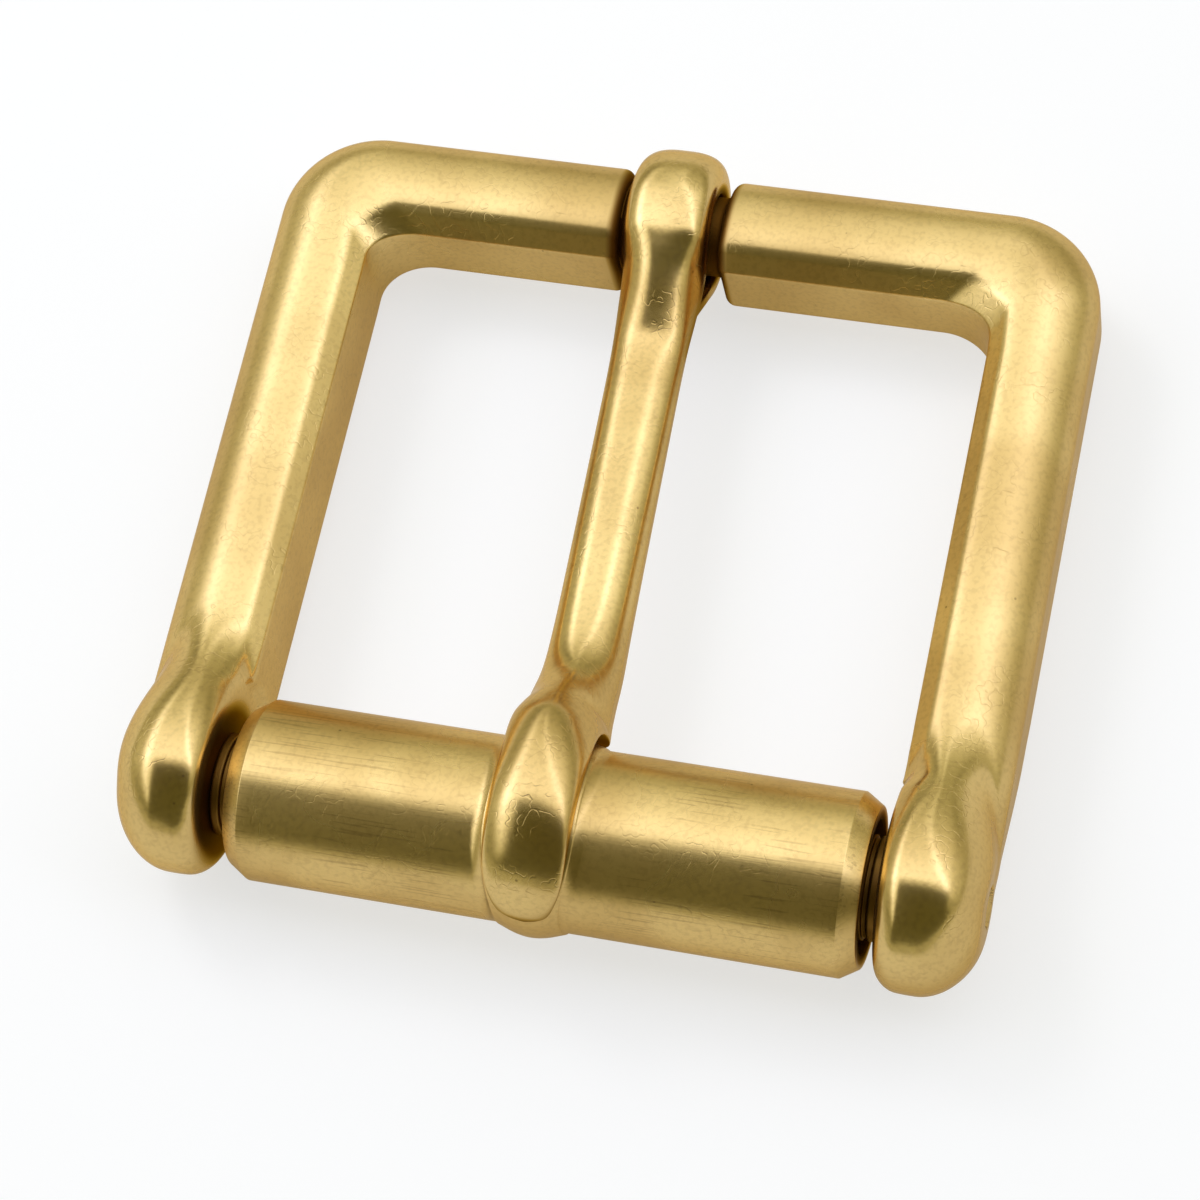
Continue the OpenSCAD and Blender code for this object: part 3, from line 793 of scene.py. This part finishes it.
scene = bpy.context.scene
buildFloor()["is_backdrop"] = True


# the room, as levels of light by direction: back goes by y, from the open side in front (-1) to the wall
# behind (1), and side by roll, degrees from straight up towards the right; two brighter strips lie at
# left and at right, and the right one slants with y
studio = {
    "back": [(-1.0, 0.5), (-0.1, 1.15), (0.02, 1.42), (0.2, 1.36), (0.5, 1.05), (0.8, 0.62), (1.0, 0.34)],
    "side": [(-90, 0.4), (-66, 0.42), (-54, 0.7), (-30, 1.0), (0, 0.97), (20, 0.97), (45, 0.85), (67, 0.5),
             (90, 0.35)],
    "strip": 0.7, "stripWidth": 8.0, "stripFrom": (0.1, 0.3), "left": -47.0, "right": 55.0,
    "rightSlant": -82.0, "slantFrom": -0.1,
    # the dark open side in front, between two values of x and below one of y
    "front": (-0.46, 0.92), "frontSoft": 0.07, "frontTop": (0.03, -0.17), "frontLevel": 0.1,
    "low": (0.18, 0.13), "lowLevel": 0.4,  # near the floor
    "warmth": (0.04, 0.5), "white": 1.2,  # dim parts are warmer
}


def studioWorld():
    # level = back(y)*(side(roll) + strips), replaced by frontLevel in the dark patch and by lowLevel near
    # the floor; a strip is strip*exp(-(degrees off its middle/width)^2); colour = (1, share^0.04,
    # share^0.5), share = level/white
    world = bpy.data.worlds.new("studio")
    world.use_nodes = True
    tree = world.node_tree

    def curve(value, points):
        # smooth curve through points (x, y); the node works on 0..1, so x is scaled and y halved
        lo, hi = points[0][0], points[-1][0]
        scaled = addNode(tree, "Math", (addNode(tree, "Math", (value, lo), **minus), hi - lo), **over)
        line = addNode(tree, "FloatCurve", {"Value": scaled})
        mapping = line.node.mapping
        while len(mapping.curves[0].points) < len(points):
            mapping.curves[0].points.new(0.5, 0.5)
        for point, (x, y) in zip(mapping.curves[0].points, points):
            point.location = ((x - lo) / (hi - lo), y / 2)
        mapping.update()
        return addNode(tree, "Math", (line, 2.0), **times)

    direction = addNode(tree, "TexCoord", out="Generated")
    x, y, z = addNode(tree, "SeparateXYZ", (direction,)).node.outputs
    roll = addNode(tree, "Math", (x, z), operation="ARCTAN2")
    roll = addNode(tree, "Math", (roll, 180 / math.pi), **times)
    middleRight = addNode(tree, "Math", (y, studio["slantFrom"]), operation="MAXIMUM")
    middleRight = addNode(tree, "Math", (middleRight, studio["rightSlant"], studio["right"]), **timesPlus)
    strips = []
    for middle in (studio["left"], middleRight):
        off = addNode(tree, "Math", (roll, middle), **minus)
        off = addNode(tree, "Math", (off, studio["stripWidth"]), **over)
        off = addNode(tree, "Math", (addNode(tree, "Math", (off, off), **times), -1.0), **times)
        strips.append(addNode(tree, "Math", (off,), operation="EXPONENT"))
    high = addNode(tree, "MapRange", (z, *studio["stripFrom"], 0.0, studio["strip"]), **smooth)
    strip = addNode(tree, "Math", (addNode(tree, "Math", strips, operation="ADD"), high), **times)
    across = addNode(tree, "Math", (curve(roll, studio["side"]), strip), operation="ADD")
    room = addNode(tree, "Math", (curve(y, studio["back"]), across), **times)
    (left, right), soft = studio["front"], studio["frontSoft"]
    fromLeft = addNode(tree, "MapRange", (x, left - soft, left + soft), **smooth)
    fromRight = addNode(tree, "MapRange", (x, right + soft, right - soft), **smooth)
    ahead = addNode(tree, "MapRange", (y, *studio["frontTop"]), **smooth)
    dark = addNode(tree, "Math", (fromLeft, fromRight), **times)
    dark = addNode(tree, "Math", (dark, ahead), **times)
    level = addNode(tree, "Mix", {0: dark, 2: room, 3: studio["frontLevel"]})
    low = addNode(tree, "MapRange", (z, *studio["low"]), **smooth)
    level = addNode(tree, "Mix", {0: low, 2: level, 3: studio["lowLevel"]})
    share = addNode(tree, "Math", (level, studio["white"]), **over)
    green, blue = (addNode(tree, "Math", (share, power), operation="POWER") for power in studio["warmth"])
    background = tree.nodes["Background"]
    tree.links.new(level, background.inputs["Strength"])
    tree.links.new(addNode(tree, "CombineColor", (1.0, green, blue)), background.inputs["Color"])
    return world


# a square light above and behind on the left, in mm; it gives the soft shadows and shows in no reflection
keyLight = {"place": (-150, 130, 260), "side": 90, "radiance": 6.0}


def buildKey():
    # aimed at the origin, with power = radiance*pi*area
    light = bpy.data.lights.new("key", "AREA")
    light.shape = "RECTANGLE"
    light.size = light.size_y = keyLight["side"] * mm
    light.energy = keyLight["radiance"] * math.pi * (keyLight["side"] * mm) ** 2
    key = bpy.data.objects.new("key", light)
    key.location = Vector(keyLight["place"]) * mm
    key.rotation_euler = (-Vector(keyLight["place"])).to_track_quat("-Z", "Y").to_euler()
    key.visible_glossy = False
    scene.collection.objects.link(key)
    return key


scene.world = studioWorld()
buildKey()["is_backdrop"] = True
print("floor and lights are in place")


# the photo's viewing angle: degrees, place and lens in mm
cameraView = {"azimuth": 31.8, "elevation": 66.1, "roll": -21.2, "place": (47.2, -81.27, 209.13),
              "lens": 110.06, "sensor": 36, "nearAndFar": (10, 10000)}
camera = bpy.data.objects.new("camera", bpy.data.cameras.new("camera"))
scene.collection.objects.link(camera)
camera.data.lens, camera.data.sensor_width = cameraView["lens"], cameraView["sensor"]
azimuth, elevation, roll = (math.radians(cameraView[key]) for key in ("azimuth", "elevation", "roll"))
away = math.cos(elevation)
back = Vector((math.sin(azimuth) * away, -math.cos(azimuth) * away, math.sin(elevation)))
level = Vector((math.cos(azimuth), math.sin(azimuth), 0))
right = math.cos(roll) * level + math.sin(roll) * back.cross(level)
turned = Matrix((right, back.cross(right), back)).transposed().to_4x4()
camera.matrix_world = Matrix.Translation(Vector(cameraView["place"]) * mm) @ turned
camera.data.clip_start, camera.data.clip_end = (d * mm for d in cameraView["nearAndFar"])
scene.camera = camera
scene.view_settings.view_transform = "Standard"
print("camera is in place")

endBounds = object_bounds()  # the visual model's box
for word, bounds in (("CAD", startBounds), ("visual", endBounds)):
    print(word, "box in mm", [[round(c / mm, 2) for c in v] for v in bounds])
